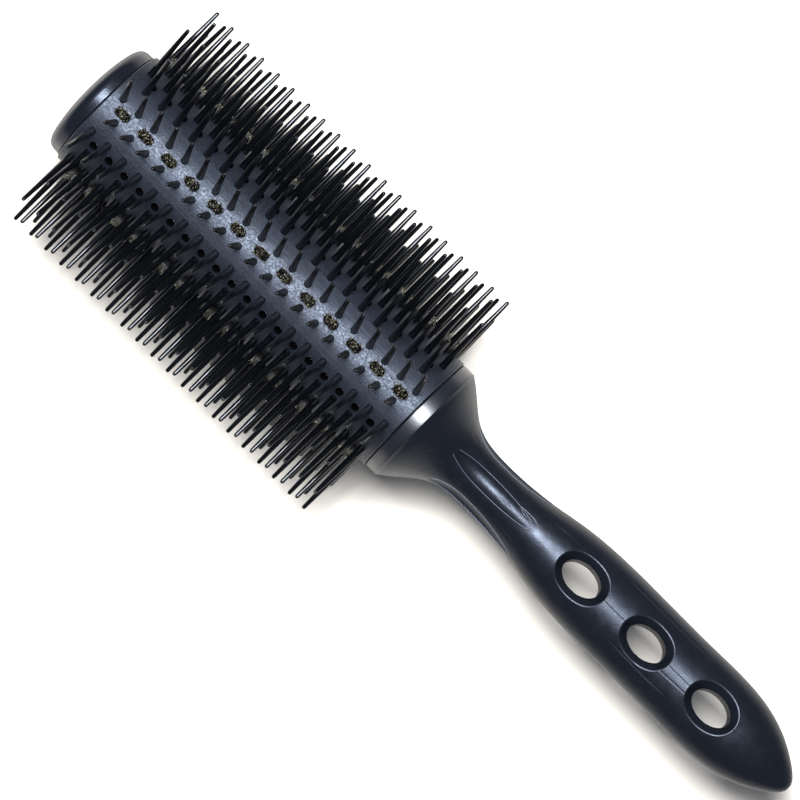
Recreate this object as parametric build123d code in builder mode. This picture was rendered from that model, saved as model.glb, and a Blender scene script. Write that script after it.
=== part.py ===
from build123d import *
import os
from math import cos, hypot, radians, sin

os.makedirs("parts", exist_ok=True)

# Driving sizes, in mm
barrel_length = 110.0
barrel_radius = 17.9
barrel_wall = 3.4
pin_reach = 37.0            # barrel axis to pin tips
pins_per_row = 20
pin_rows = 20
pin_root_radius = 0.95
pin_tip_radius = 0.55
pin_end_margin = 3.1        # barrel end to the first pin
tufts_per_row = 13
tuft_rows = 5               # tuft rows, vent rows and core slots all share this count
tuft_height = 3.6           # bristle standing above the barrel
vent_radius = 1.17
cap_length = 6.0
cap_step = 0.8              # the cap's rim sits this far inside the barrel's surface
collar_step = 0.25          # and so does the handle's collar
collar_length = 4.3
handle_length = 133.2
neck_radius = 7.6
grip_half_width = 11.75
grip_half_thickness = 8.6
flute_depth = 1.05
rim_round = 0.5             # rounding of the hole rims
hole_length = 11.6          # grip through-holes, along the handle
hole_width = 7.7
hole_dish = 1.85            # width of the dished band round each hole
dish_depth = 2.4            # from the crest of the grip to the straight part of a hole
hole_pitch = 23.0
hole_count = 3

# Clearances
seam = 0.15                 # end faces of the barrel to the cap and the handle
fit = 0.05                  # pins, spigots and tufts in their holes
edge_break = 0.25           # small edge on mating rims

# Stations along the brush: x runs from the cap to the handle tip, with 0 in the middle
overall_length = cap_length + seam + barrel_length + seam + handle_length
cap_face_x = -overall_length / 2
barrel_start_x = cap_face_x + cap_length + seam
barrel_end_x = barrel_start_x + barrel_length
barrel_mid_x = (barrel_start_x + barrel_end_x) / 2
collar_x = barrel_end_x + seam
tip_x = overall_length / 2

# The brush rests on the two lowest pin rows, half a row step either side of straight down
row_step = 360 / pin_rows
tip_centre_radius = pin_reach - pin_tip_radius
axis_z = tip_centre_radius * cos(radians(row_step / 2)) + pin_tip_radius

cap_radius = barrel_radius - cap_step
collar_radius = barrel_radius - collar_step

# Inside the barrel, from the wall inward
bore_radius = barrel_radius - barrel_wall
head_radius = pin_root_radius + 0.35  # each pin has a head behind the wall
head_thickness = 1.2
head_top = bore_radius - 0.15
head_bottom = head_top - head_thickness
core_radius = head_bottom - 0.1
core_wall = 2.3
core_bore = core_radius - core_wall
shoulder = 1.4              # depth of the cap's and the handle's first step into the bore
core_start_x = barrel_start_x + shoulder + 0.2
core_end_x = barrel_end_x - shoulder - 0.2
bulkhead_depth = 10.0       # from the barrel end to the bulkhead in the core
bulkhead = 2.5
screw_radius = 1.9
screw_length = 16.0

pin_pitch = (barrel_length - 2 * pin_end_margin) / (pins_per_row - 1)
tuft_pitch = (pins_per_row - 2) * pin_pitch / (tufts_per_row - 1)
group_step = 360 / tuft_rows

axis_plane = Plane(origin=(0, 0, axis_z), x_dir=(1, 0, 0), z_dir=(0, -1, 0))
brush_axis = Axis((0, 0, axis_z), (1, 0, 0))


def cross_plane(x):
    """Plane across the brush at x, drawn with its sideways direction first and up second."""
    return Plane(origin=(x, 0, axis_z), x_dir=(0, 1, 0), z_dir=(1, 0, 0))


def turned(angle):
    """Location that turns a row built on top of the brush round the brush axis."""
    spin = Location((0, 0, axis_z), (-angle, 0, 0))
    return spin * Location((0, 0, -axis_z))


# ---- Cutters and repeated shapes, drawn once on top of the barrel ----

with BuildPart() as pin:
    with BuildSketch(axis_plane):
        with BuildLine():
            Polyline(
                (0, head_bottom),
                (head_radius, head_bottom),
                (head_radius, head_top),
                (pin_root_radius, head_top),
                (pin_root_radius, barrel_radius),
                (pin_tip_radius, tip_centre_radius),
            )
            RadiusArc((pin_tip_radius, tip_centre_radius), (0, pin_reach), -pin_tip_radius)
            Line((0, pin_reach), (0, head_bottom))
        make_face()
    revolve(axis=Axis((0, 0, 0), (0, 0, 1)))

row_shapes = {}
row_cutters = {}
for count in (pins_per_row, pins_per_row - 1):
    with BuildPart() as loose_row:
        with Locations((barrel_mid_x, 0, 0)):
            with GridLocations(pin_pitch, 1, count, 1):
                add(pin.part)
    with BuildPart() as pin_holes:
        with Locations((barrel_mid_x, 0, axis_z + barrel_radius - barrel_wall / 2)):
            with GridLocations(pin_pitch, 1, count, 1):
                Cylinder(pin_root_radius + fit, barrel_wall + 4)
    row_shapes[count] = loose_row.part
    row_cutters[count] = pin_holes.part

with BuildPart() as vent_holes:
    with Locations((barrel_mid_x, 0, axis_z + barrel_radius - barrel_wall / 2)):
        with GridLocations(pin_pitch, 1, pins_per_row - 1, 1):
            Cylinder(vent_radius, barrel_wall + 4)

# Tuft pockets: blind, two-lobed like the folded tufts that sit in them
lobe_radius = 1.2
lobe_offset = 0.95
pocket_depth = 2.6
pocket_floor = barrel_radius - pocket_depth
with BuildPart() as tuft_pockets:
    with BuildSketch(Plane.XY.offset(axis_z + pocket_floor)):
        with Locations((barrel_mid_x, 0)):
            with GridLocations(tuft_pitch, 1, tufts_per_row, 1):
                SlotOverall(2 * (lobe_offset + lobe_radius + fit), 2 * (lobe_radius + fit))
    extrude(amount=pocket_depth + 2)


# ---- Barrel ----

with BuildPart() as barrel:
    with BuildSketch(cross_plane(barrel_start_x)):
        Circle(barrel_radius)
        Circle(bore_radius, mode=Mode.SUBTRACT)
    extrude(amount=barrel_length)
    rims = barrel.edges().filter_by(GeomType.CIRCLE).group_by(SortBy.RADIUS)[-1]
    chamfer(rims, edge_break)
    for row in range(pin_rows):
        count = pins_per_row - row % 2
        with Locations(turned(row_step * (row + 0.5))):
            add(row_cutters[count], mode=Mode.SUBTRACT)
    for group in range(tuft_rows):
        with Locations(turned(group_step * group)):
            add(tuft_pockets.part, mode=Mode.SUBTRACT)
        with Locations(turned(group_step * (group + 0.5))):
            add(vent_holes.part, mode=Mode.SUBTRACT)
barrel.part.label = "barrel"
export_step(barrel.part, "parts/barrel.step")


# ---- Pin rows: headed pins pushed out through the wall from inside ----

for row in range(pin_rows):
    pin_row = row_shapes[pins_per_row - row % 2].moved(turned(row_step * (row + 0.5)))
    pin_row.label = f"pin_row_{row + 1:02d}"
    export_step(pin_row, f"parts/pin_row_{row + 1:02d}.step")


# ---- Bristle tufts, folded round small anchor plates ----

anchor_thickness = 0.4
anchor_height = 1.5
lobe_top_radius = 1.65
with BuildPart() as tuft:
    for side in (-1, 1):
        with BuildSketch(axis_plane):
            with BuildLine():
                Polyline(
                    (side * lobe_offset, pocket_floor + fit),
                    (side * (lobe_offset + lobe_radius), pocket_floor + fit),
                    (side * (lobe_offset + lobe_radius), barrel_radius),
                    (side * (lobe_offset + lobe_top_radius), barrel_radius + tuft_height - 0.6),
                    (side * (lobe_offset + lobe_top_radius - 0.6), barrel_radius + tuft_height),
                    (side * lobe_offset, barrel_radius + tuft_height),
                    close=True,
                )
            make_face()
        revolve(axis=Axis((side * lobe_offset, 0, 0), (0, 0, 1)))
    with Locations((0, 0, axis_z + pocket_floor + anchor_height / 2)):
        Box(
            anchor_thickness + 2 * fit,
            2 * lobe_radius + 1,
            anchor_height + 2 * fit,
            mode=Mode.SUBTRACT,
        )

with BuildPart() as anchor:
    with Locations((0, 0, axis_z + pocket_floor + anchor_height / 2)):
        Box(anchor_thickness, 2 * lobe_radius, anchor_height - 2 * fit)

for group in range(tuft_rows):
    with BuildPart() as bristle_row:
        with Locations(turned(group_step * group)):
            with Locations((barrel_mid_x, 0, 0)):
                with GridLocations(tuft_pitch, 1, tufts_per_row, 1):
                    add(tuft.part)
    bristle_row.part.label = f"bristle_row_{group + 1}"
    export_step(bristle_row.part, f"parts/bristle_row_{group + 1}.step")

    with BuildPart() as anchor_row:
        with Locations(turned(group_step * group)):
            with Locations((barrel_mid_x, 0, 0)):
                with GridLocations(tuft_pitch, 1, tufts_per_row, 1):
                    add(anchor.part)
    anchor_row.part.label = f"tuft_anchors_{group + 1}"
    export_step(anchor_row.part, f"parts/tuft_anchors_{group + 1}.step")


# ---- Core tube: keeps the pin heads in place and lets air through to the vents ----

slot_count = 4
slot_width = 2.6
slot_space = (core_end_x - bulkhead_depth - core_start_x) / slot_count
with BuildPart() as core_tube:
    with BuildSketch(cross_plane(core_start_x)):
        Circle(core_radius)
        Circle(core_bore, mode=Mode.SUBTRACT)
    extrude(amount=core_end_x - core_start_x)
    with BuildSketch(cross_plane(barrel_end_x - bulkhead_depth - bulkhead)):
        Circle(core_bore + core_wall / 2)
        Circle(screw_radius + 0.15, mode=Mode.SUBTRACT)
    extrude(amount=bulkhead)
    slot_centre_x = core_start_x + slot_space * slot_count / 2
    for group in range(tuft_rows):
        with Locations(turned(group_step * (group + 0.5))):
            with Locations((slot_centre_x, 0, axis_z + core_radius - core_wall / 2)):
                with GridLocations(slot_space, 1, slot_count, 1):
                    Box(slot_space * 0.7, slot_width, core_wall + 2, mode=Mode.SUBTRACT)
core_tube.part.label = "core_tube"
export_step(core_tube.part, "parts/core_tube.step")


# ---- End cap: shallow dome with a stepped plug ----

dome_rise = 1.0
cap_corner = 3.6
rim_x = cap_face_x + cap_length
with BuildPart() as end_cap:
    with BuildSketch(axis_plane):
        with BuildLine():
            Line((cap_face_x, 0), (rim_x + shoulder, 0))
            Line((rim_x + shoulder, 0), (rim_x + shoulder, core_bore - fit))
            Line((rim_x + shoulder, core_bore - fit), (rim_x + shoulder, bore_radius - fit))
            Line((rim_x + shoulder, bore_radius - fit), (rim_x, bore_radius - fit))
            Line((rim_x, bore_radius - fit), (rim_x, cap_radius - edge_break))
            Line((rim_x, cap_radius - edge_break), (rim_x - edge_break, cap_radius))
            Line((rim_x - edge_break, cap_radius), (rim_x - 2.0, cap_radius - 0.1))
            Spline(
                (rim_x - 2.0, cap_radius - 0.1),
                (cap_face_x + dome_rise, cap_radius - cap_corner),
                (cap_face_x, 0),
                tangents=((-1, -0.06), (0, -1)),
            )
        make_face()
    revolve(axis=brush_axis)
    with BuildSketch(cross_plane(rim_x + shoulder)):
        Circle(core_bore - fit)
        Circle(core_bore - 2.0, mode=Mode.SUBTRACT)
    extrude(amount=6)
end_cap.part.label = "end_cap"
export_step(end_cap.part, "parts/end_cap.step")


# ---- Handle ----

# Outline after the collar: distance from the barrel, half width, half thickness.
# The flare runs from the collar down to the neck, and the grip from grip_start to tip_start.
collar_end_radius = collar_radius - 0.55
flare = (collar_end_radius - neck_radius) / 9.5
grip_start = 50.0
tip_start = handle_length - 20.4
stretch = (tip_start - grip_start) / 62.8
outline = (
    (collar_length, collar_end_radius, collar_end_radius),
    (7.4, neck_radius + 7.15 * flare, neck_radius + 7.15 * flare),
    (10.3, neck_radius + 4.7 * flare, neck_radius + 4.7 * flare),
    (13.1, neck_radius + 2.6 * flare, neck_radius + 2.6 * flare),
    (16.5, neck_radius + 0.95 * flare, neck_radius + 0.95 * flare),
    (20.4, neck_radius + 0.2, neck_radius + 0.2),
    (25.5, neck_radius, neck_radius),
    (33.0, neck_radius + 0.25, neck_radius + 0.2),
    (41.0, neck_radius + 1.2, neck_radius + 0.75),
    (grip_start, grip_half_width - 1.35, grip_half_thickness),
    (grip_start + 11 * stretch, grip_half_width - 0.25, grip_half_thickness + 0.1),
    (grip_start + 25 * stretch, grip_half_width, grip_half_thickness),
    (grip_start + 45 * stretch, grip_half_width, grip_half_thickness),
    (tip_start, grip_half_width - 0.4, grip_half_thickness - 0.3),
    (tip_start + 6.3, grip_half_width - 1.75, grip_half_thickness - 1.25),
    (tip_start + 12.6, grip_half_width - 4.35, grip_half_thickness - 3.1),
    (tip_start + 16.8, grip_half_width - 6.95, grip_half_thickness - 5.0),
    (tip_start + 19.2, grip_half_width - 8.95, grip_half_thickness - 6.5),
)

# Flutes: round-bottomed grooves that dip into the neck and run out to a point at both ends.
# Each share is the depth at one station of the outline, and below 0 the bar is clear of the skin.
flute_bar = 4.5
flute_shares = (-0.5, 0.0, 0.45, 0.85, 1.0, 0.8, 0.12, -0.4)


def flute_cutter(angle):
    """Bar for the flute at this angle, drawn on top of the brush with its floor under the skin there."""
    floor_points = []
    for (s, half_width, half_thickness), share in zip(outline[2:10], flute_shares):
        slope = hypot(half_thickness * sin(radians(angle)), half_width * cos(radians(angle)))
        skin = half_width * half_thickness / slope
        floor_points.append((collar_x + s, skin - share * flute_depth))
    with BuildLine(axis_plane, mode=Mode.PRIVATE) as floor_line:
        Spline(*floor_points)
    centre_points = []
    for step in range(13):
        along = floor_line.line % (step / 12)
        lift = Vector(-along.Z, 0, along.X) * flute_bar
        centre_points.append(floor_line.line @ (step / 12) + lift)
    with BuildPart() as cutter:
        with BuildLine() as path:
            Spline(*centre_points)
        with BuildSketch(Plane(path.line @ 0, z_dir=path.line % 0)):
            Circle(flute_bar)
        sweep()
    return cutter.part


# One dished hole: a straight oval with a flared oval mouth on each face
mouth_over = 0.2            # the mouth is cut a little above the crest
mouth_reach = hole_length / 2 + hole_dish * (1 + mouth_over / dish_depth)
with BuildPart() as grip_hole:
    with BuildSketch(Plane.XY.offset(axis_z - 15)):
        Ellipse(hole_length / 2, hole_width / 2)
    extrude(amount=30)
    for face_side in (-1, 1):
        mouth_z = axis_z + face_side * (grip_half_thickness - dish_depth)
        with BuildSketch(Plane.XY.offset(mouth_z)):
            Ellipse(hole_length / 2, hole_width / 2)
        with BuildSketch(Plane.XY.offset(mouth_z + face_side * (dish_depth + mouth_over))):
            Ellipse(mouth_reach, mouth_reach - 0.2)
        loft()

with BuildPart() as handle:
    for s, half_width, half_thickness in outline:
        with BuildSketch(cross_plane(collar_x + s)):
            Ellipse(half_width, half_thickness)
    with BuildSketch(cross_plane(tip_x)):
        Ellipse(0.9, 0.7)
    loft()
    with BuildSketch(axis_plane) as collar_outline:
        with BuildLine():
            Polyline(
                (collar_x, 0),
                (collar_x, collar_radius - edge_break),
                (collar_x + edge_break, collar_radius),
                (collar_x + collar_length - 0.7, collar_radius),
                (collar_x + collar_length, collar_end_radius),
                (collar_x + collar_length, 0),
                close=True,
            )
        make_face()
        fillet(collar_outline.vertices().group_by(Axis.Z)[-1].sort_by(Axis.X)[-1], 2.0)
    revolve(axis=brush_axis)
    with BuildSketch(cross_plane(collar_x)):
        Circle(bore_radius - fit)
    extrude(amount=-shoulder)
    with BuildSketch(cross_plane(collar_x - shoulder)):
        Circle(core_bore - fit)
    extrude(amount=-(bulkhead_depth - shoulder - 0.05))
    for turn in range(tuft_rows):
        with Locations(turned(group_step * turn)):
            add(flute_cutter(group_step * turn), mode=Mode.SUBTRACT)
    with Locations((collar_x + grip_start + 32.1 * stretch, 0, 0)):
        with GridLocations(hole_pitch, 1, hole_count, 1):
            add(grip_hole.part, mode=Mode.SUBTRACT)
    closed_edges = handle.edges().filter_by(lambda edge: edge.is_closed)
    hole_edges = closed_edges.filter_by(lambda edge: edge.bounding_box().min.X > collar_x + 40)
    fillet(hole_edges.filter_by(lambda edge: edge.length > 1.5 * hole_length), rim_round)
    with BuildSketch(cross_plane(collar_x - bulkhead_depth)):
        Circle(screw_radius + fit)
    extrude(amount=screw_length, mode=Mode.SUBTRACT)
handle.part.label = "handle"
export_step(handle.part, "parts/handle.step")


# ---- Screw and washer that hold the core to the handle ----

washer_thickness = 0.8
washer_x = barrel_end_x - bulkhead_depth - bulkhead - fit - washer_thickness
with BuildPart() as core_washer:
    with BuildSketch(cross_plane(washer_x)):
        Circle(4.5)
        Circle(screw_radius + 0.1, mode=Mode.SUBTRACT)
    extrude(amount=washer_thickness)
core_washer.part.label = "core_washer"
export_step(core_washer.part, "parts/core_washer.step")

with BuildPart() as core_screw:
    with BuildSketch(cross_plane(washer_x - fit)):
        Circle(screw_radius)
    extrude(amount=screw_length)
    with BuildSketch(cross_plane(washer_x - fit)):
        Circle(3.6)
    extrude(amount=-2.4)
    head_edge = core_screw.edges().filter_by(GeomType.CIRCLE).sort_by(Axis.X)[0]
    fillet(head_edge, 1.0)
    for angle in (0, 90):
        with Locations(Location((washer_x - fit - 2.4, 0, axis_z), (angle, 0, 0))):
            Box(2.0, 3.6, 0.8, mode=Mode.SUBTRACT)
core_screw.part.label = "core_screw"
export_step(core_screw.part, "parts/core_screw.step")
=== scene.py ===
import bpy
import bmesh
import math
from mathutils import Matrix, Vector


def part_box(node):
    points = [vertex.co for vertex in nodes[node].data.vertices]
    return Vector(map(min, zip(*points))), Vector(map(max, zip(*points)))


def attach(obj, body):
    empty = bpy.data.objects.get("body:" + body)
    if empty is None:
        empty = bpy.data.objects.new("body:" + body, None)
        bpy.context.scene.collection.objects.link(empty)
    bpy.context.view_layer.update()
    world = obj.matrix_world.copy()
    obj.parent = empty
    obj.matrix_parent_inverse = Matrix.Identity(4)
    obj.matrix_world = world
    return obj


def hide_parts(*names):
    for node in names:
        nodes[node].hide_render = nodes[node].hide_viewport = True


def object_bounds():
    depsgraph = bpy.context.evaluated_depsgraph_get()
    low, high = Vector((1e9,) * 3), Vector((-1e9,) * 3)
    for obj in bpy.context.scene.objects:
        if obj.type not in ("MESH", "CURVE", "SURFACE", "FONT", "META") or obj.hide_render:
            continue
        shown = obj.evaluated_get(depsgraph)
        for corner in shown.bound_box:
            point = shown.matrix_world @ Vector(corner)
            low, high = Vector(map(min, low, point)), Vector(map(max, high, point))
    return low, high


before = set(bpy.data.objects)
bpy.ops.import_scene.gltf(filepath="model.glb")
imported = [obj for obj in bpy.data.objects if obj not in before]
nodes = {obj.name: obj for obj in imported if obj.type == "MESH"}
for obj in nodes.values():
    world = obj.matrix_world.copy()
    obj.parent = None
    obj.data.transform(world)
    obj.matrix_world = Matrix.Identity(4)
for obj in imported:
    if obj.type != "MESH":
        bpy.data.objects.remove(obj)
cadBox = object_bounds()
print("frame loaded:", len(nodes), "nodes")

barrelLow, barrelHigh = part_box("barrel")
barrelMid = (barrelLow + barrelHigh) / 2
axisZ = barrelMid.z
barrelRadius = (barrelHigh.z - barrelLow.z) / 2
wholeLow, wholeHigh = cadBox


def linearColour(hexValue):
    channels = [int(hexValue[i:i + 2], 16) / 255 for i in (1, 3, 5)]
    return tuple(c / 12.92 if c <= 0.04045 else ((c + 0.055) / 1.055) ** 2.4 for c in channels) + (1,)


def addNode(tree, kind, settings=None, inputs=None):
    # An input is given by name or number, as a constant or as the socket that feeds it
    node = tree.nodes.new(kind)
    for name, value in (settings or {}).items():
        setattr(node, name, value)
    for name, value in (inputs or {}).items():
        if isinstance(value, bpy.types.NodeSocket):
            tree.links.new(value, node.inputs[name])
        else:
            node.inputs[name].default_value = value
    return node


def newMaterial(name, colour, roughness):
    material = bpy.data.materials.new(name)
    material.use_nodes = True
    shader = material.node_tree.nodes["Principled BSDF"]
    shader.inputs["Base Color"].default_value = linearColour(colour)
    shader.inputs["Roughness"].default_value = roughness
    return material, material.node_tree, shader


def addObject(name, mesh):
    piece = bpy.data.objects.new(name, mesh)
    bpy.context.scene.collection.objects.link(piece)
    return piece


def meshFromBmesh(name, bm, smooth=True):
    mesh = bpy.data.meshes.new(name)
    bm.to_mesh(mesh)
    bm.free()
    for face in mesh.polygons:
        face.use_smooth = smooth
    return mesh


satinNylon = {
    "colour": "#07090e", "cloudColour": "#0b0e15", "cloudSize": 0.014,
    "sheen": "#ccdaf4", "specular": 0.38, "ior": 1.5,
    "roughness": 0.47, "roughnessSpread": 0.14, "grazingRoughness": 0.5, "blotchSize": 0.0006,
    "grainSize": 0.00033,     # real grain is nearer 0.1 mm, drawn coarser so that it shows
    "grainDepth": 0.00006,
    "dragSpacing": 0.0006, "dragDepth": 0.00003,
    "scratchSpacing": 0.0016, "scratchDepth": 0.0,
}
satinPolyamide = dict(
    satinNylon, colour="#06080c", cloudColour="#0a0c12", specular=0.22,
    roughness=0.33, roughnessSpread=0.05, blotchSize=0.0028,
    grainSize=0.0005, grainDepth=0.00002, dragDepth=0.000003, scratchDepth=0.00003)
capNylon = dict(satinPolyamide, roughness=0.25, specular=0.27)
glossPinNylon = dict(
    satinNylon, colour="#020304", cloudColour="#040507", cloudSize=0.05, sheen="#e6ecf8", specular=0.24,
    roughness=0.14, roughnessSpread=0.03, blotchSize=0.01,
    grainSize=0.002, grainDepth=0.00001, dragDepth=0.0)
innerPolypropylene = dict(satinNylon, colour="#020203", cloudColour="#040405", specular=0.15, roughness=0.7)
# Painted highlight: the flute edge beads are made greyer than the handle so that they draw a light line
edgeHighlightLook = dict(
    satinPolyamide, colour="#2b303b", cloudColour="#414854", cloudSize=0.006, specular=0.4, roughness=0.35)


def mouldedPlastic(name, look):
    material, tree, shader = newMaterial(name, look["colour"], look["roughness"])
    shader.inputs["IOR"].default_value = look["ior"]
    shader.inputs["Specular Tint"].default_value = linearColour(look["sheen"])
    shader.inputs["Specular IOR Level"].default_value = look["specular"]
    place = addNode(tree, "ShaderNodeTexCoord").outputs["Object"]

    cloud = addNode(tree, "ShaderNodeTexNoise", inputs={
        "Scale": 1 / look["cloudSize"], "Detail": 3.0, "Vector": place})
    tint = addNode(tree, "ShaderNodeMix", {"data_type": "RGBA"}, {
        0: cloud.outputs["Fac"], 6: linearColour(look["colour"]), 7: linearColour(look["cloudColour"])})
    tree.links.new(tint.outputs[2], shader.inputs["Base Color"])

    blotch = addNode(tree, "ShaderNodeTexNoise", inputs={
        "Scale": 1 / look["blotchSize"], "Detail": 4.0, "Vector": place})
    rough = addNode(tree, "ShaderNodeMapRange", inputs={
        "Value": blotch.outputs["Fac"], "From Min": 0.3, "From Max": 0.7,
        "To Min": look["roughness"] - look["roughnessSpread"],
        "To Max": look["roughness"] + look["roughnessSpread"]})
    # Seen edge-on the grain hides its own gloss, so the outline stays dark
    facing = addNode(tree, "ShaderNodeLayerWeight", inputs={"Blend": 0.5})
    edgeOn = addNode(tree, "ShaderNodeMapRange", {"interpolation_type": "SMOOTHSTEP"}, {
        "Value": facing.outputs["Facing"], "From Min": 0.5, "From Max": 0.95})
    satin = addNode(tree, "ShaderNodeMix", inputs={
        0: edgeOn.outputs["Result"], 2: rough.outputs["Result"], 3: look["grazingRoughness"]})
    tree.links.new(satin.outputs[0], shader.inputs["Roughness"])

    grain = addNode(tree, "ShaderNodeTexNoise", inputs={
        "Scale": 1 / look["grainSize"], "Detail": 2.0, "Vector": place})
    # Faint lines along the brush, where the piece was drawn off its mould
    stretch = addNode(tree, "ShaderNodeMapping", inputs={"Scale": (0.03, 1.0, 1.0), "Vector": place})
    drag = addNode(tree, "ShaderNodeTexNoise", inputs={
        "Scale": 1 / look["dragSpacing"], "Detail": 1.0, "Vector": stretch.outputs["Vector"]})
    # A few hairline scratches from handling, sparse and lying mostly along the brush
    slant = addNode(tree, "ShaderNodeMapping", inputs={
        "Scale": (0.06, 1.0, 1.0), "Rotation": (0, 0, 0.5), "Vector": place})
    hairline = addNode(tree, "ShaderNodeTexNoise", inputs={
        "Scale": 1 / look["scratchSpacing"], "Detail": 0.0, "Vector": slant.outputs["Vector"]})
    cut = addNode(tree, "ShaderNodeMapRange", inputs={
        "Value": hairline.outputs["Fac"], "From Min": 0.74, "From Max": 0.77})

    grainBump = addNode(tree, "ShaderNodeBump", inputs={
        "Distance": look["grainDepth"], "Height": grain.outputs["Fac"]})
    dragBump = addNode(tree, "ShaderNodeBump", inputs={
        "Distance": look["dragDepth"], "Height": drag.outputs["Fac"], "Normal": grainBump.outputs["Normal"]})
    cutBump = addNode(tree, "ShaderNodeBump", {"invert": True}, {
        "Distance": look["scratchDepth"], "Height": cut.outputs["Result"],
        "Normal": dragBump.outputs["Normal"]})
    tree.links.new(cutBump.outputs["Normal"], shader.inputs["Normal"])
    return material


collarStart = barrelHigh.x
partingMark = {"halfWidth": 0.0002, "height": 0.00003, "start": collarStart + 0.052, "fadeLength": 0.004}
collarPolish = {"length": 0.0036, "fade": 0.0012, "roughness": 0.3, "coat": 0.6, "coatIor": 1.5}
# Painted shade inside the vents: how deep it starts, its near-black colour and its reflection level
ventPaintedShade = {"depth": 0.0006, "colour": "#030304", "specular": 0.03}


def partingLine(material):
    # The mould's two halves meet on the middle plane and leave a hair-thin ridge along the grip
    tree = material.node_tree
    shader = tree.nodes["Principled BSDF"]
    under = shader.inputs["Normal"].links[0].from_socket
    place = addNode(tree, "ShaderNodeTexCoord").outputs["Object"]
    split = addNode(tree, "ShaderNodeSeparateXYZ", inputs={"Vector": place})
    distance = addNode(tree, "ShaderNodeMath", {"operation": "ABSOLUTE"}, {0: split.outputs["Y"]})
    ridge = addNode(tree, "ShaderNodeMapRange", {"interpolation_type": "SMOOTHSTEP"}, {
        "Value": distance.outputs[0], "From Min": 0.0, "From Max": partingMark["halfWidth"],
        "To Min": 1.0, "To Max": 0.0})
    pastFlutes = addNode(tree, "ShaderNodeMapRange", inputs={
        "Value": split.outputs["X"], "From Min": partingMark["start"],
        "From Max": partingMark["start"] + partingMark["fadeLength"]})
    line = addNode(tree, "ShaderNodeMath", {"operation": "MULTIPLY"}, {
        0: ridge.outputs["Result"], 1: pastFlutes.outputs["Result"]})
    bump = addNode(tree, "ShaderNodeBump", inputs={
        "Distance": partingMark["height"], "Height": line.outputs[0], "Normal": under})
    tree.links.new(bump.outputs["Normal"], shader.inputs["Normal"])


def polishCollar(material):
    # The polished band of the mould leaves the collar shinier than the rest of the handle
    tree = material.node_tree
    shader = tree.nodes["Principled BSDF"]
    satin = shader.inputs["Roughness"].links[0].from_socket
    half = collarPolish["length"] / 2
    place = addNode(tree, "ShaderNodeTexCoord").outputs["Object"]
    along = addNode(tree, "ShaderNodeSeparateXYZ", inputs={"Vector": place}).outputs["X"]
    offset = addNode(tree, "ShaderNodeMath", {"operation": "SUBTRACT"}, {0: along, 1: collarStart + half})
    distance = addNode(tree, "ShaderNodeMath", {"operation": "ABSOLUTE"}, {0: offset.outputs[0]})
    inside = addNode(tree, "ShaderNodeMapRange", {"interpolation_type": "SMOOTHSTEP"}, {
        "Value": distance.outputs[0], "From Min": half - collarPolish["fade"],
        "From Max": half + collarPolish["fade"], "To Min": 1.0, "To Max": 0.0})
    blend = addNode(tree, "ShaderNodeMix", inputs={
        0: inside.outputs[0], 2: satin, 3: collarPolish["roughness"]})
    tree.links.new(blend.outputs[0], shader.inputs["Roughness"])

    gloss = addNode(tree, "ShaderNodeMath", {"operation": "MULTIPLY"}, {
        0: inside.outputs[0], 1: collarPolish["coat"]})
    facing = addNode(tree, "ShaderNodeLayerWeight", inputs={"Blend": 0.5})
    faceOn = addNode(tree, "ShaderNodeMapRange", inputs={
        "Value": facing.outputs["Facing"], "From Min": 0.3, "From Max": 0.8, "To Min": 1.0, "To Max": 0.0})
    coat = addNode(tree, "ShaderNodeMath", {"operation": "MULTIPLY"}, {
        0: gloss.outputs[0], 1: faceOn.outputs["Result"]})
    tree.links.new(coat.outputs[0], shader.inputs["Coat Weight"])
    shader.inputs["Coat Roughness"].default_value = collarPolish["roughness"]
    shader.inputs["Coat IOR"].default_value = collarPolish["coatIor"]


def paintShadeInVents(material):
    # Painted shade: the walls of the holes and the barrel's inside get a near-black colour and a weaker
    # reflection, standing in for the shade down in the holes
    tree = material.node_tree
    shader = tree.nodes["Principled BSDF"]
    colour = shader.inputs["Base Color"].links[0].from_socket
    place = addNode(tree, "ShaderNodeTexCoord").outputs["Object"]
    fromAxis = addNode(tree, "ShaderNodeVectorMath", {"operation": "MULTIPLY_ADD"}, {
        0: place, 1: (0, 1, 1), 2: (0, 0, -axisZ)})
    radius = addNode(tree, "ShaderNodeVectorMath", {"operation": "LENGTH"}, {0: fromAxis.outputs[0]})
    outer = addNode(tree, "ShaderNodeMapRange", {"interpolation_type": "SMOOTHSTEP"}, {
        "Value": radius.outputs["Value"], "From Min": barrelRadius - ventPaintedShade["depth"],
        "From Max": barrelRadius - ventPaintedShade["depth"] * 0.3})
    # Painted shade: near-black colour below the outer skin, blending into the barrel's own colour at the
    # surface
    blend = addNode(tree, "ShaderNodeMix", {"data_type": "RGBA"}, {
        0: outer.outputs["Result"], 6: linearColour(ventPaintedShade["colour"]), 7: colour})
    tree.links.new(blend.outputs[2], shader.inputs["Base Color"])
    shine = addNode(tree, "ShaderNodeMapRange", inputs={
        "Value": outer.outputs["Result"], "To Min": ventPaintedShade["specular"],
        "To Max": shader.inputs["Specular IOR Level"].default_value})
    tree.links.new(shine.outputs["Result"], shader.inputs["Specular IOR Level"])


# Heat-resistant nylon, moulded and lightly blasted: a broad blue-black sheen broken by fine grain
barrelNylon = mouldedPlastic("satinHeatResistantNylon", satinNylon)
paintShadeInVents(barrelNylon)
# Polyamide from a polished mould: nearly black, with a narrow soft highlight and a bright collar band
handlePlastic = mouldedPlastic("satinMouldedPolyamide", satinPolyamide)
partingLine(handlePlastic)
polishCollar(handlePlastic)
# Nylon cap from a smoother mould than the handle's: the same black, with a tighter highlight
capPlastic = mouldedPlastic("satinMouldedCapNylon", capNylon)
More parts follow.
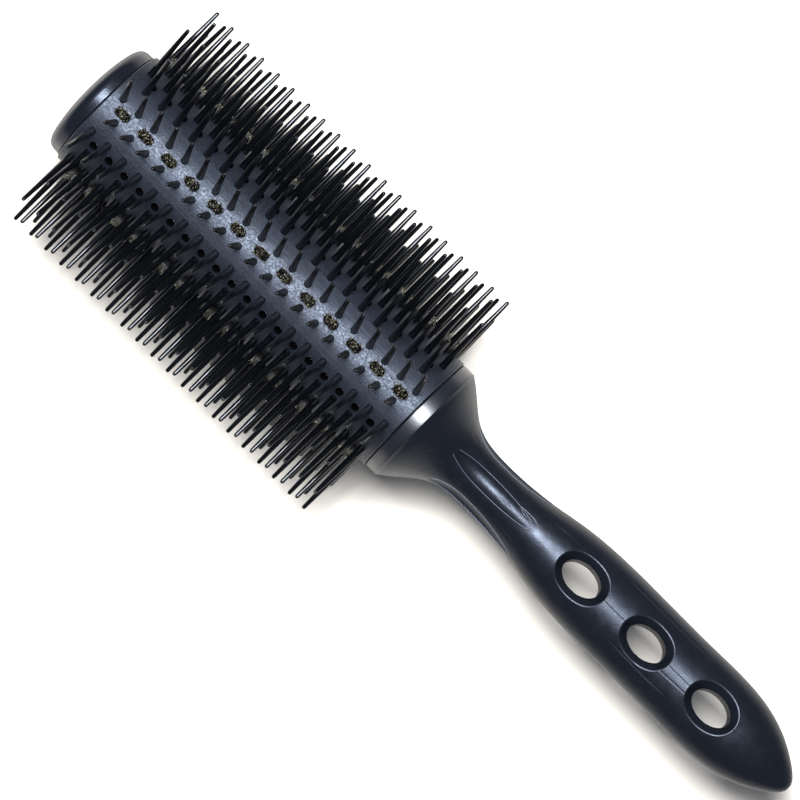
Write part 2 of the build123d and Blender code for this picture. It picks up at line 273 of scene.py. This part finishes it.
# Drawn nylon pins: black with a thin bright line down each one
pinNylon = mouldedPlastic("glossyBlackPinNylon", glossPinNylon)
# Inner parts in plain black polypropylene: matte and dark, seen only through the vents
corePlastic = mouldedPlastic("matteInnerPolypropylene", innerPolypropylene)
# Flute edges: a thin bead that rounds each sharp fold, in a greyer, smoother plastic than the skin; the
# rounding is real, the light line it draws is painted highlight
edgeHighlightPlastic = mouldedPlastic("fluteEdgePaintedHighlight", edgeHighlightLook)


bristleLook = {
    "side": "#080706", "roughness": 0.42, "ior": 1.55,
    "cutFrom": 0.86,          # share of a strand's length where its cut end begins
    # The last, palest tone is painted glint on the cut ends; the darker ones are the strands' own colour
    "tonesAndGlint": ((0.0, "#070706"), (0.4, "#13110b"), (0.62, "#2c2919"), (0.85, "#575339"), (1.0, "#aaa79a")),
}


def bristleFibre():
    # Cut boar and nylon bristle: most strands near black, some olive, and a few cut ends in a pale tone that
    # is painted glint
    material, tree, shader = newMaterial("cutBoarBristle", bristleLook["side"], bristleLook["roughness"])
    shader.inputs["IOR"].default_value = bristleLook["ior"]
    tone = addNode(tree, "ShaderNodeAttribute", {"attribute_name": "tone"})
    ramp = addNode(tree, "ShaderNodeValToRGB", inputs={"Fac": tone.outputs["Fac"]})
    tonesAndGlint = bristleLook["tonesAndGlint"]
    elements = ramp.color_ramp.elements
    for element, (position, colour) in zip(elements, (tonesAndGlint[0], tonesAndGlint[-1])):
        element.position = position
        element.color = linearColour(colour)
    for position, colour in tonesAndGlint[1:-1]:
        elements.new(position).color = linearColour(colour)
    # Only the cut end shows its tone: the strand's own olive tones, and in the palest tone a painted glint;
    # the side of each strand stays dark
    along = addNode(tree, "ShaderNodeAttribute", {"attribute_name": "along"})
    cutEnd = addNode(tree, "ShaderNodeMapRange", inputs={
        "Value": along.outputs["Fac"], "From Min": bristleLook["cutFrom"], "From Max": 1.0})
    blend = addNode(tree, "ShaderNodeMix", {"data_type": "RGBA"}, {
        0: cutEnd.outputs["Result"], 6: linearColour(bristleLook["side"]), 7: ramp.outputs["Color"]})
    tree.links.new(blend.outputs[2], shader.inputs["Base Color"])
    return material


bristleMaterial = bristleFibre()

zincPlate = {"colour": "#a9abad", "roughness": 0.32}
blackenedWire = {"colour": "#2b2b2d", "roughness": 0.55}


def plainMetal(name, look):
    material, tree, shader = newMaterial(name, look["colour"], look["roughness"])
    shader.inputs["Metallic"].default_value = 1.0
    place = addNode(tree, "ShaderNodeTexCoord").outputs["Object"]
    # Crystals and rolling marks about 0.25 mm apart
    mark = addNode(tree, "ShaderNodeTexNoise", inputs={"Scale": 4000.0, "Detail": 3.0, "Vector": place})
    bump = addNode(tree, "ShaderNodeBump", inputs={
        "Strength": 0.4, "Distance": 0.00001, "Height": mark.outputs["Fac"]})
    tree.links.new(bump.outputs["Normal"], shader.inputs["Normal"])
    return material


# Zinc-plated screw and washer: grey with a soft metallic glint
zincSteel = plainMetal("zincPlatedSteel", zincPlate)
# Tuft anchors cut from blackened flat wire: dark, with almost no glint down in the pockets
anchorSteel = plainMetal("blackenedFlatSteelWire", blackenedWire)

nodeMaterials = {"barrel": barrelNylon, "handle": handlePlastic, "end_cap": capPlastic,
                 "core_tube": corePlastic, "core_screw": zincSteel, "core_washer": zincSteel}
for name, node in nodes.items():
    if name.startswith("tuft_anchors"):
        nodeMaterials[name] = anchorSteel
for name, material in nodeMaterials.items():
    for slot in nodes[name].material_slots:
        slot.material = material
print("materials given to", len(nodeMaterials), "frame nodes")


socketKinds = {"float": "NodeSocketFloat", "int": "NodeSocketInt",
               "object": "NodeSocketObject", "material": "NodeSocketMaterial"}


def newTree(name, inputs):
    tree = bpy.data.node_groups.new(name, "GeometryNodeTree")
    tree.interface.new_socket("Geometry", in_out="OUTPUT", socket_type="NodeSocketGeometry")
    for label, kind in inputs.items():
        tree.interface.new_socket(label, in_out="INPUT", socket_type=socketKinds[kind])
    source = tree.nodes.new("NodeGroupInput")
    given = {label: source.outputs[label] for label in inputs}
    return tree, given


def finishTree(tree, geometry, material):
    # Every tree ends alike, in real geometry that carries its material
    real = addNode(tree, "GeometryNodeRealizeInstances", inputs={"Geometry": geometry})
    coat = addNode(tree, "GeometryNodeSetMaterial", inputs={
        "Geometry": real.outputs["Geometry"], "Material": material})
    addNode(tree, "NodeGroupOutput", inputs={"Geometry": coat.outputs["Geometry"]})
    return tree


def growPiece(name, tree, values):
    piece = addObject(name, bpy.data.meshes.new(name))
    modifier = piece.modifiers.new("grow", "NODES")
    modifier.node_group = tree
    for item in tree.interface.items_tree:
        if item.item_type == "SOCKET" and item.in_out == "INPUT":
            modifier[item.identifier] = values[item.name]
    depsgraph = bpy.context.evaluated_depsgraph_get()
    mesh = bpy.data.meshes.new_from_object(piece.evaluated_get(depsgraph), depsgraph=depsgraph)
    piece.modifiers.remove(modifier)
    mesh.name = name
    piece.data = mesh
    return piece


def spun(name, profile, sides):
    # A closed turned shape from (radius, height) steps, first and last on the axis
    bm = bmesh.new()
    rings = []
    for radius, height in profile:
        if radius < 1e-7:
            rings.append([bm.verts.new((0, 0, height))])
        else:
            turn = [2 * math.pi * k / sides for k in range(sides)]
            rings.append([bm.verts.new((radius * math.cos(a), radius * math.sin(a), height)) for a in turn])
    for lower, upper in zip(rings, rings[1:]):
        for k in range(sides):
            corners = [lower[k % len(lower)], lower[(k + 1) % len(lower)],
                       upper[(k + 1) % len(upper)], upper[k % len(upper)]]
            bm.faces.new(list(dict.fromkeys(corners)))
    bmesh.ops.recalc_face_normals(bm, faces=bm.faces)
    return meshFromBmesh(name, bm)


fluteEdge = {
    "beadRadius": 0.00009,
    "sharpAngle": 18,         # degrees, a fold sharper than this in the skin is a flute's edge
    "from": 0.010, "to": 0.050, "clearOfAxis": 0.005,
}


def fluteEdgeLines():
    # The sharp folds of the handle's neck, as loose edges for the bead to follow
    bm = bmesh.new()
    bm.from_mesh(nodes["handle"].data)
    bm.transform(nodes["handle"].matrix_world)
    bmesh.ops.remove_doubles(bm, verts=bm.verts, dist=1e-7)
    low, high = collarStart + fluteEdge["from"], collarStart + fluteEdge["to"]
    kept = []
    for edge in bm.edges:
        middle = (edge.verts[0].co + edge.verts[1].co) / 2
        outside = math.hypot(middle.y, middle.z - axisZ) > fluteEdge["clearOfAxis"]
        if len(edge.link_faces) == 2 and low < middle.x < high and outside:
            if math.degrees(edge.calc_face_angle()) > fluteEdge["sharpAngle"]:
                kept.append([vertex.co.copy() for vertex in edge.verts])
    bm.free()
    lines = bmesh.new()
    for start, finish in kept:
        lines.edges.new((lines.verts.new(start), lines.verts.new(finish)))
    bmesh.ops.remove_doubles(lines, verts=lines.verts, dist=1e-7)
    return meshFromBmesh("fluteLines", lines)


def beadTree():
    tree, given = newTree("fluteBead", {"Lines": "object", "Bead Radius": "float", "Material": "material"})
    lines = addNode(tree, "GeometryNodeObjectInfo", inputs={"Object": given["Lines"]})
    curve = addNode(tree, "GeometryNodeMeshToCurve", inputs={"Mesh": lines.outputs["Geometry"]})
    ring = addNode(tree, "GeometryNodeCurvePrimitiveCircle", inputs={
        "Resolution": 8, "Radius": given["Bead Radius"]})
    bead = addNode(tree, "GeometryNodeCurveToMesh", inputs={
        "Curve": curve.outputs["Curve"], "Profile Curve": ring.outputs["Curve"]})
    return finishTree(tree, bead.outputs["Mesh"], given["Material"])


lineTemplate = addObject("fluteLines", fluteEdgeLines())
fluteEdges = growPiece("fluteEdges", beadTree(), {
    "Lines": lineTemplate, "Bead Radius": fluteEdge["beadRadius"], "Material": edgeHighlightPlastic})
bpy.data.objects.remove(lineTemplate)
for face in fluteEdges.data.polygons:
    face.use_smooth = True
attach(fluteEdges, "root")
print("flute edges:", len(fluteEdges.data.polygons), "faces")


pinLayout = {
    "rows": 20, "perRow": 20, "endMargin": 0.0031,
    "rootRadius": 0.00095, "tipRadius": 0.00055, "sides": 10,
    "headRadius": 0.0013, "headThickness": 0.0012, "headGap": 0.00015, "wall": 0.0034,
    "lean": 0.5,              # degrees, how far a pin may stray from straight
    "seed": 11,
}
rowStep = 2 * math.pi / pinLayout["rows"]
# The widest pins stand half a row step off level, so the box is a little narrower than twice their reach
pinReach = ((wholeHigh.y - wholeLow.y) / 2 - pinLayout["tipRadius"]) / math.cos(rowStep / 2)
pinReach += pinLayout["tipRadius"]
pinPitch = (barrelHigh.x - barrelLow.x - 2 * pinLayout["endMargin"]) / (pinLayout["perRow"] - 1)


def pinShape():
    # A headed pin with its foot at the barrel's surface, its head inside and a rounded tip
    root, tip, head = pinLayout["rootRadius"], pinLayout["tipRadius"], pinLayout["headRadius"]
    stand = pinReach - barrelRadius
    headTop = -pinLayout["wall"] - pinLayout["headGap"]
    headBottom = headTop - pinLayout["headThickness"]
    profile = [
        (0, headBottom), (head, headBottom), (head, headTop), (root, headTop), (root, 0.0),
        ((root + tip) / 2, (stand - tip) / 2), (tip, stand - tip),
        (tip * 0.8, stand - tip * 0.4), (tip * 0.42, stand - tip * 0.09), (0, stand)]
    return spun("pinShape", profile, pinLayout["sides"])


def pinTree():
    tree, given = newTree("pinRows", {
        "Rows": "int", "Pins in Row": "int", "Pitch": "float", "Row Step": "float", "Middle X": "float",
        "Axis Height": "float", "Barrel Radius": "float", "Lean": "float", "Seed": "int",
        "Pin": "object", "Material": "material"})
    known = dict(given, index=addNode(tree, "GeometryNodeInputIndex").outputs["Index"])
    # Each line: a result, its sum, and what goes in. Every other row is one pin shorter.
    for result, operation, *terms in (
            ("share", "DIVIDE", "index", "Pins in Row"),
            ("row", "FLOOR", "share"),
            ("passed", "MULTIPLY", "row", "Pins in Row"),
            ("place", "SUBTRACT", "index", "passed"),
            ("odd", "MODULO", "row", 2.0),
            ("most", "SUBTRACT", "Pins in Row", 1.0),
            ("last", "SUBTRACT", "most", "odd"),
            ("half", "MULTIPLY", "last", 0.5),
            ("offset", "SUBTRACT", "place", "half"),
            ("limit", "ADD", "last", 0.25),
            ("x", "MULTIPLY_ADD", "offset", "Pitch", "Middle X"),
            ("step", "ADD", "row", 0.5),
            ("angle", "MULTIPLY", "step", "Row Step"),
            ("roll", "MULTIPLY", "angle", -1.0),
            ("sine", "SINE", "angle"),
            ("cosine", "COSINE", "angle"),
            ("y", "MULTIPLY", "sine", "Barrel Radius"),
            ("z", "MULTIPLY_ADD", "cosine", "Barrel Radius", "Axis Height"),
            ("count", "MULTIPLY", "Rows", "Pins in Row")):
        inputs = {number: known.get(term, term) for number, term in enumerate(terms)}
        known[result] = addNode(tree, "ShaderNodeMath", {"operation": operation}, inputs).outputs[0]

    spot = addNode(tree, "ShaderNodeCombineXYZ", inputs={"X": known["x"], "Y": known["y"], "Z": known["z"]})
    points = addNode(tree, "GeometryNodePoints", inputs={
        "Count": known["count"], "Position": spot.outputs["Vector"]})
    stray = addNode(tree, "FunctionNodeRandomValue", {"data_type": "FLOAT_VECTOR"}, {
        "Min": (-1, -1, -6), "Max": (1, 1, 6), "Seed": given["Seed"]})
    lean = addNode(tree, "ShaderNodeVectorMath", {"operation": "SCALE"}, {
        "Vector": stray.outputs["Value"], "Scale": given["Lean"]})
    roll = addNode(tree, "ShaderNodeCombineXYZ", inputs={"X": known["roll"]})
    aim = addNode(tree, "FunctionNodeRotateRotation", {"rotation_space": "GLOBAL"}, {
        "Rotation": lean.outputs["Vector"], "Rotate By": roll.outputs["Vector"]})
    keep = addNode(tree, "FunctionNodeCompare", {"data_type": "FLOAT", "operation": "LESS_EQUAL"}, {
        "A": known["place"], "B": known["limit"]})
    shape = addNode(tree, "GeometryNodeObjectInfo", inputs={"Object": given["Pin"]})
    rows = addNode(tree, "GeometryNodeInstanceOnPoints", inputs={
        "Points": points.outputs["Points"], "Selection": keep.outputs["Result"],
        "Instance": shape.outputs["Geometry"], "Rotation": aim.outputs["Rotation"]})
    return finishTree(tree, rows.outputs["Instances"], given["Material"])


pinTemplate = addObject("pinTemplate", pinShape())
pins = growPiece("pinField", pinTree(), {
    "Rows": pinLayout["rows"], "Pins in Row": pinLayout["perRow"], "Pitch": pinPitch, "Row Step": rowStep,
    "Middle X": barrelMid.x, "Axis Height": axisZ, "Barrel Radius": barrelRadius,
    "Lean": math.radians(pinLayout["lean"]), "Seed": pinLayout["seed"],
    "Pin": pinTemplate, "Material": pinNylon})
bpy.data.objects.remove(pinTemplate)
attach(pins, "root")
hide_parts(*["pin_row_%02d" % (k + 1) for k in range(pinLayout["rows"])])
print("pins:", len(pins.data.polygons), "faces")


tuftLayout = {
    "rows": 5, "perRow": 13, "depth": 0.001, "height": 0.0036,
    "lobeOffset": 0.00095, "rootRadius": 0.00105, "headRadius": 0.00155, "wander": 0.00018,
    "strands": 120, "shortest": 0.72, "strandBend": 0.00012,
    "strandRadius": 0.00012,  # a real bristle's is nearer 0.06 mm, drawn thicker so that it shows
    "strays": 3, "strayRadius": 0.00007, "strayBend": 0.0014,
    "strayShortest": 0.9, "strayLongest": 1.45, "straySplay": 1.5,
    "taper": 0.25, "sides": 4, "seed": 23, "straySeed": 63,
}
tuftPitch = (pinLayout["perRow"] - 2) * pinPitch / (tuftLayout["perRow"] - 1)


def strandTree():
    tree, given = newTree("tuftStrands", {
        "Tuft Rows": "int", "Tufts in Row": "int", "Strands": "int", "Pitch": "float", "Middle X": "float",
        "Axis Height": "float", "Barrel Radius": "float", "Lobe Offset": "float", "Root Radius": "float",
        "Head Radius": "float", "Depth": "float", "Shortest": "float", "Longest": "float", "Seed": "int",
        "Strand": "object", "Material": "material"})
    known = dict(given, index=addNode(tree, "GeometryNodeInputIndex").outputs["Index"])
    wander = tuftLayout["wander"]
    draws = (("spread", 0.0, 1.0), ("around", 0.0, 2 * math.pi), ("halfDraw", -1.0, 1.0),
             ("wanderX", -wander, wander), ("height", given["Shortest"], given["Longest"]),
             ("wanderY", -wander, wander), ("twirl", 0.0, 2 * math.pi), ("tone", 0.0, 1.0))
    for shift, (result, low, high) in enumerate(draws, start=1):
        seed = addNode(tree, "ShaderNodeMath", {"operation": "ADD"}, {0: given["Seed"], 1: float(shift)})
        draw = addNode(tree, "FunctionNodeRandomValue", {"data_type": "FLOAT"}, {
            2: low, 3: high, "Seed": seed.outputs[0]})
        known[result] = draw.outputs[1]

    # Each line: a result, its sum, and what goes in. A tuft has two lobes, one each side of its anchor.
    for result, operation, *terms in (
            ("tuftShare", "DIVIDE", "index", "Strands"),
            ("tuft", "FLOOR", "tuftShare"),
            ("rowShare", "DIVIDE", "tuft", "Tufts in Row"),
            ("row", "FLOOR", "rowShare"),
            ("passed", "MULTIPLY", "row", "Tufts in Row"),
            ("place", "SUBTRACT", "tuft", "passed"),
            ("most", "SUBTRACT", "Tufts in Row", 1.0),
            ("half", "MULTIPLY", "most", 0.5),
            ("offset", "SUBTRACT", "place", "half"),
            ("tuftX", "MULTIPLY_ADD", "offset", "Pitch", "Middle X"),
            ("angle", "MULTIPLY", "row", 2 * math.pi / tuftLayout["rows"]),
            ("roll", "MULTIPLY", "angle", -1.0),
            ("sine", "SINE", "angle"),
            ("cosine", "COSINE", "angle"),
            ("reach", "SQRT", "spread"),
            ("aroundCosine", "COSINE", "around"),
            ("aroundSine", "SINE", "around"),
            ("across", "MULTIPLY", "reach", "aroundCosine"),
            ("over", "MULTIPLY", "reach", "aroundSine"),
            ("side", "SIGN", "halfDraw"),
            ("lobe", "MULTIPLY", "side", "Lobe Offset"),
            ("rootX", "MULTIPLY_ADD", "across", "Root Radius", "lobe"),
            ("rootY", "MULTIPLY", "over", "Root Radius"),
            ("headX", "MULTIPLY_ADD", "across", "Head Radius", "lobe"),
            ("headY", "MULTIPLY", "over", "Head Radius"),
            ("splayX", "SUBTRACT", "headX", "rootX"),
            ("splayY", "SUBTRACT", "headY", "rootY"),
            ("aimX", "ADD", "splayX", "wanderX"),
            ("aimY", "ADD", "splayY", "wanderY"),
            ("length", "ADD", "height", "Depth"),
            ("stand", "SUBTRACT", "Barrel Radius", "Depth"),
            ("outY", "MULTIPLY", "sine", "stand"),
            ("sideY", "MULTIPLY", "cosine", "rootY"),
            ("outZ", "MULTIPLY", "cosine", "stand"),
            ("sideZ", "MULTIPLY", "sine", "rootY"),
            ("lift", "SUBTRACT", "outZ", "sideZ"),
            ("x", "ADD", "tuftX", "rootX"),
            ("y", "ADD", "outY", "sideY"),
            ("z", "ADD", "lift", "Axis Height"),
            ("tufts", "MULTIPLY", "Tuft Rows", "Tufts in Row"),
            ("count", "MULTIPLY", "tufts", "Strands")):
        inputs = {number: known.get(term, term) for number, term in enumerate(terms)}
        known[result] = addNode(tree, "ShaderNodeMath", {"operation": operation}, inputs).outputs[0]

    direction = addNode(tree, "ShaderNodeCombineXYZ", inputs={
        "X": known["aimX"], "Y": known["aimY"], "Z": known["length"]})
    upright = addNode(tree, "FunctionNodeAlignRotationToVector", {"axis": "Z"}, {
        "Vector": direction.outputs["Vector"]})
    twirl = addNode(tree, "ShaderNodeCombineXYZ", inputs={"Z": known["twirl"]})
    twirled = addNode(tree, "FunctionNodeRotateRotation", {"rotation_space": "LOCAL"}, {
        "Rotation": upright.outputs["Rotation"], "Rotate By": twirl.outputs["Vector"]})
    roll = addNode(tree, "ShaderNodeCombineXYZ", inputs={"X": known["roll"]})
    aim = addNode(tree, "FunctionNodeRotateRotation", {"rotation_space": "GLOBAL"}, {
        "Rotation": twirled.outputs["Rotation"], "Rotate By": roll.outputs["Vector"]})
    spot = addNode(tree, "ShaderNodeCombineXYZ", inputs={"X": known["x"], "Y": known["y"], "Z": known["z"]})
    points = addNode(tree, "GeometryNodePoints", inputs={
        "Count": known["count"], "Position": spot.outputs["Vector"]})
    shape = addNode(tree, "GeometryNodeObjectInfo", inputs={"Object": given["Strand"]})
    scale = addNode(tree, "ShaderNodeCombineXYZ", inputs={"X": 1.0, "Y": 1.0, "Z": known["length"]})
    strands = addNode(tree, "GeometryNodeInstanceOnPoints", inputs={
        "Points": points.outputs["Points"], "Instance": shape.outputs["Geometry"],
        "Rotation": aim.outputs["Rotation"], "Scale": scale.outputs["Vector"]})
    toned = addNode(tree, "GeometryNodeStoreNamedAttribute", {"data_type": "FLOAT", "domain": "INSTANCE"}, {
        "Name": "tone", "Geometry": strands.outputs["Instances"], "Value": known["tone"]})
    return finishTree(tree, toned.outputs["Geometry"], given["Material"])


def strandShape(name, radius, bend, steps):
    # One bristle of unit length along Z, bowed sideways and cut square
    sides = tuftLayout["sides"]
    bm = bmesh.new()
    rings = []
    for step in range(steps + 1):
        t = step / steps
        thick = radius * (1 - tuftLayout["taper"] * t)
        turns = [2 * math.pi * k / sides for k in range(sides)]
        bow = bend * t * t
        rings.append([bm.verts.new((bow + thick * math.cos(a), thick * math.sin(a), t)) for a in turns])
    for lower, upper in zip(rings, rings[1:]):
        for k in range(sides):
            bm.faces.new((lower[k], lower[(k + 1) % sides], upper[(k + 1) % sides], upper[k]))
    bm.faces.new(rings[-1])
    bm.faces.new(list(reversed(rings[0])))
    mesh = meshFromBmesh(name, bm)
    along = mesh.attributes.new("along", "FLOAT", "POINT")
    for vertex in mesh.vertices:
        along.data[vertex.index].value = vertex.co.z
    return mesh


tuftTree = strandTree()
shared = {
    "Tuft Rows": tuftLayout["rows"], "Tufts in Row": tuftLayout["perRow"], "Pitch": tuftPitch,
    "Middle X": barrelMid.x, "Axis Height": axisZ, "Barrel Radius": barrelRadius,
    "Lobe Offset": tuftLayout["lobeOffset"], "Root Radius": tuftLayout["rootRadius"],
    "Depth": tuftLayout["depth"], "Material": bristleMaterial}
strandTemplate = addObject("strandTemplate", strandShape(
    "strand", tuftLayout["strandRadius"], tuftLayout["strandBend"], 2))
tufts = growPiece("bristleTufts", tuftTree, dict(shared, **{
    "Strands": tuftLayout["strands"], "Head Radius": tuftLayout["headRadius"],
    "Shortest": tuftLayout["height"] * tuftLayout["shortest"], "Longest": tuftLayout["height"],
    "Seed": tuftLayout["seed"], "Strand": strandTemplate}))
# A few longer hairs that have worked loose and splay out of each tuft
strayTemplate = addObject("strayTemplate", strandShape(
    "stray", tuftLayout["strayRadius"], tuftLayout["strayBend"], 6))
strays = growPiece("strayBristles", tuftTree, dict(shared, **{
    "Strands": tuftLayout["strays"], "Head Radius": tuftLayout["headRadius"] * tuftLayout["straySplay"],
    "Shortest": tuftLayout["height"] * tuftLayout["strayShortest"],
    "Longest": tuftLayout["height"] * tuftLayout["strayLongest"],
    "Seed": tuftLayout["straySeed"], "Strand": strayTemplate}))
for template in (strandTemplate, strayTemplate):
    bpy.data.objects.remove(template)
for piece in (tufts, strays):
    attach(piece, "root")
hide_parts(*["bristle_row_%d" % (k + 1) for k in range(tuftLayout["rows"])])
print("tufts:", len(tufts.data.polygons), "faces, strays:", len(strays.data.polygons))


studio = {
    "floorColour": "#bcb8b2", "floorSize": 3.0, "floorRoughness": 0.7, "floorIor": 1.45, "floorSpecular": 0.1,
    "softboxPlace": (-0.15, 0.08, 1.15), "softboxSize": (0.42, 0.36), "softboxPower": 54.0,
    "worldColour": "#bcc3cf", "worldStrength": 0.52,
    "cameraHeight": 1.6, "cameraOver": (0.0415, -0.126), "target": (-0.0137, 0.0), "lens": 285.8,
}


def addFloor():
    half = studio["floorSize"] / 2
    bm = bmesh.new()
    bm.faces.new([bm.verts.new(corner) for corner in
                  ((-half, -half, 0), (half, -half, 0), (half, half, 0), (-half, half, 0))])
    floor = addObject("floor", meshFromBmesh("floor", bm, smooth=False))
    # Matt paper sweep: pale and even, with almost no reflection in it
    material, tree, shader = newMaterial("palePaperSweep", studio["floorColour"], studio["floorRoughness"])
    shader.inputs["IOR"].default_value = studio["floorIor"]
    shader.inputs["Specular IOR Level"].default_value = studio["floorSpecular"]
    floor.data.materials.append(material)


def addSoftbox():
    data = bpy.data.lights.new("overheadSoftbox", "AREA")
    data.shape = "RECTANGLE"
    data.size, data.size_y = studio["softboxSize"]
    data.energy = studio["softboxPower"]
    lamp = addObject("overheadSoftbox", data)
    lamp.visible_camera = False
    lamp.matrix_world = Matrix.Translation(studio["softboxPlace"])


addFloor()
addSoftbox()

world = bpy.data.worlds.new("studioAir")
world.use_nodes = True
air = world.node_tree.nodes["Background"]
air.inputs["Color"].default_value = linearColour(studio["worldColour"])
air.inputs["Strength"].default_value = studio["worldStrength"]
bpy.context.scene.world = world
bpy.context.scene.view_settings.view_transform = "Standard"

target = Vector((studio["target"][0], studio["target"][1], axisZ))
stand = Vector((studio["cameraOver"][0], studio["cameraOver"][1], axisZ + studio["cameraHeight"]))
back = (stand - target).normalized()
up = Vector((-1, 1, 0)).normalized()
up = (up - back * up.dot(back)).normalized()
right = up.cross(back)
cameraData = bpy.data.cameras.new("camera")
cameraData.lens = studio["lens"]
cameraData.clip_end = 10
camera = addObject("camera", cameraData)
camera.matrix_world = Matrix.Translation(stand) @ Matrix((right, up, back)).transposed().to_4x4()
bpy.context.scene.camera = camera
print("floor, softbox and camera placed")
